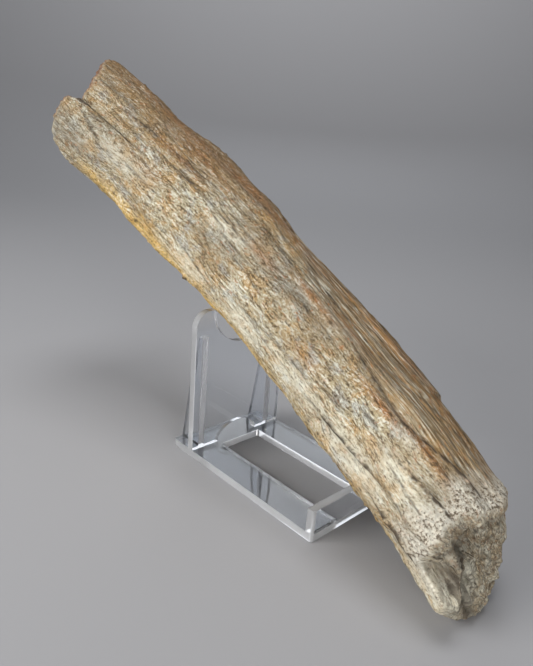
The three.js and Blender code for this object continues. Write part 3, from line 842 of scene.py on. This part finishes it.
# Dark in the low places of the grain pattern: partly the bone's dark fibres, partly painted shade in
# the gaps between them; half as strong on the pale spots.
darkness = share_of(pale_mask, 1.0, 0.5)
colour = tint(times(between(light, 0.505, 0.455, 0.0, 0.5), darkness), colour, paint(120, 96, 66))
colour = tint(times(between(light, 0.455, 0.415, 0.0, 0.8), darkness), colour, paint(78, 62, 46))
sponge_colour = tint(between(blotch, 0.38, 0.6), paint(232, 222, 204), paint(200, 178, 148))
sponge_colour = tint(times(between(rust, 0.52, 0.66), 0.6), sponge_colour, paint(166, 112, 70))
sponge_colour = tint(times(between(speckle, 0.52, 0.62), 0.8), sponge_colour, paint(230, 222, 206))
sponge_colour = tint(times(pale_mask, 0.8), sponge_colour, paint(236, 228, 212))
sponge_colour = tint(times(rusty_mask, 0.8), sponge_colour, paint(158, 100, 68))
sponge_colour = tint(times(between(speckle, 0.46, 0.38), 0.55), sponge_colour, paint(62, 50, 40))
colour = tint(times(broken_mask, 0.9), colour, sponge_colour)
colour = tint(times(crevice_mask, 0.93), colour, paint(60, 48, 38))
open_pores = times(between(pores, 0.2, 0.09), between(grit, 0.58, 0.46))
colour = tint(times(open_pores, 0.75), colour, paint(46, 37, 30))
colour = tint(1.0, colour, (0.965, 1.0, 0.965, 1.0), "MULTIPLY")

relief = times(light, times(between(pores, 0.06, 0.22), 0.25), "ADD")
relief = times(relief, times(dashes, 0.4), "ADD")
relief_bump = add(tree, "ShaderNodeBump", {"Height": relief, "Strength": 0.9, "Distance": 0.0009})
worn = add(
    tree,
    "ShaderNodeBsdfPrincipled",
    {
        "Base Color": colour,
        "Roughness": between(grit, 0.35, 0.65, 0.92, 0.7),
        "Specular IOR Level": 0.35,
        "Normal": relief_bump.outputs["Normal"],
    },
)
tree.links.new(worn.outputs["BSDF"], output.inputs["Surface"])
bone_mesh.materials.append(fossil_bone)
bone = bpy.data.objects.new("humerus_section_worn", bone_mesh)
bpy.context.scene.collection.objects.link(bone)

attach(bone, "root")
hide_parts("humerus_section")

# Studio: a pale floor that sweeps up all round, large soft lights and the camera. It carries
# the object and isn't part of it.
FLOOR_RADIUS, SWEEP_RADIUS, SWEEP_TOP = 1.0, 2.4, 3.0
SWEEP_STEPS, TURN_STEPS = 24, 96
FLOOR_GAP = 0.0003
profile = [(0.0, 0.0), (0.3, 0.0), (0.6, 0.0), (FLOOR_RADIUS, 0.0)]
for step in range(1, SWEEP_STEPS + 1):
    turn = math.pi / 2 * step / SWEEP_STEPS
    reach, rise = SWEEP_RADIUS * math.sin(turn), SWEEP_RADIUS * (1 - math.cos(turn))
    profile.append((FLOOR_RADIUS + reach, rise))
profile.append((FLOOR_RADIUS + SWEEP_RADIUS, SWEEP_TOP))
sweep = bmesh.new()
outline = [sweep.verts.new((r, 0.0, z - FLOOR_GAP)) for r, z in profile]
lines = [sweep.edges.new(pair) for pair in zip(outline, outline[1:])]
bmesh.ops.spin(
    sweep,
    geom=outline + lines,
    axis=(0, 0, 1),
    cent=(0, 0, 0),
    angle=2 * math.pi,
    steps=TURN_STEPS,
    use_merge=True,
)
bmesh.ops.remove_doubles(sweep, verts=sweep.verts, dist=WELD)
bmesh.ops.recalc_face_normals(sweep, faces=sweep.faces)
bmesh.ops.reverse_faces(sweep, faces=sweep.faces)
floor_mesh = bpy.data.meshes.new("studio_floor")
sweep.to_mesh(floor_mesh)
sweep.free()
floor_mesh.polygons.foreach_set("use_smooth", [True] * len(floor_mesh.polygons))
floor_paint, tree, output = new_material("floor_paint")
matt = add(
    tree, "ShaderNodeBsdfPrincipled", {"Base Color": paint(168, 168, 171), "Roughness": 0.75}
)
tree.links.new(matt.outputs["BSDF"], output.inputs["Surface"])
floor_mesh.materials.append(floor_paint)
floor = bpy.data.objects.new("studio_floor", floor_mesh)
bpy.context.scene.collection.objects.link(floor)

world = bpy.data.worlds.new("studio")
world.use_nodes = True
background = world.node_tree.nodes["Background"].inputs
background["Color"].default_value = (0.93, 0.96, 1.0, 1.0)
background["Strength"].default_value = 0.18
bpy.context.scene.world = world


def soft_light(name, place, target, size, power, colour=(1.0, 1.0, 1.0), spread=180):
    """A soft box at a place, turned to a target, in metres and watts, its spread in degrees."""
    data = bpy.data.lights.new(name, "AREA")
    data.shape = "RECTANGLE"
    data.size, data.size_y = size
    data.energy = power
    data.spread = math.radians(spread)
    data.color = colour
    lamp = bpy.data.objects.new(name, data)
    lamp.location = place
    lamp.rotation_euler = (Vector(target) - Vector(place)).to_track_quat("-Z", "Y").to_euler()
    bpy.context.scene.collection.objects.link(lamp)


soft_light("key_light", (-0.34, -0.9, 0.5), (0.06, 0, 0.06), (0.6, 0.5), 7.2, (1.0, 0.985, 0.96))
soft_light("top_light", (0.05, 0.0, 1.2), (0.02, 0, 0), (0.6, 0.5), 5.2)
soft_light("fill_light", (1.1, -0.44, 0.24), (0.13, 0, 0.06), (0.36, 0.26), 1.1, spread=80)
soft_light("low_light", (-0.02, -1.1, 0.22), (0.1, 0, 0.08), (0.8, 0.2), 0.9, spread=80)
soft_light("wall_light", (-1.3, 1.3, 2.3), (-2.6, 2.5, 1.0), (1.6, 1.0), 24)
soft_light("sheen_light", (-0.95, 1.05, 0.85), (0, 0, 0.03), (0.9, 0.7), 2.2, (0.92, 0.96, 1.0))

# The camera stands where the edges of the stand run as they do in the picture.
FOCAL_PIXELS, LONG_SIDE, SENSOR = 600, 666, 36
CAMERA_RIGHT, CAMERA_BACK = (0.6816, 0.7277, 0.0767), (0.6693, -0.6623, 0.3368)
CAMERA_FROM_STAND = (0.2424, -0.2058, 0.176)
camera_data = bpy.data.cameras.new("studio_camera")
camera_data.sensor_width = SENSOR
camera_data.lens = FOCAL_PIXELS / LONG_SIDE * SENSOR
camera_data.clip_start, camera_data.clip_end = 0.01, 50
camera = bpy.data.objects.new("studio_camera", camera_data)
right = Vector(CAMERA_RIGHT).normalized()
back = Vector(CAMERA_BACK)
back = (back - right * back.dot(right)).normalized()
turned_to = Matrix((right, back.cross(right), back)).transposed().to_4x4()
stand_rear = Vector((stand_low.x, (stand_low.y + stand_high.y) / 2, 0))
camera.matrix_world = Matrix.Translation(stand_rear + Vector(CAMERA_FROM_STAND)) @ turned_to
bpy.context.scene.collection.objects.link(camera)
bpy.context.scene.camera = camera
bpy.context.scene.view_settings.view_transform = "Standard"
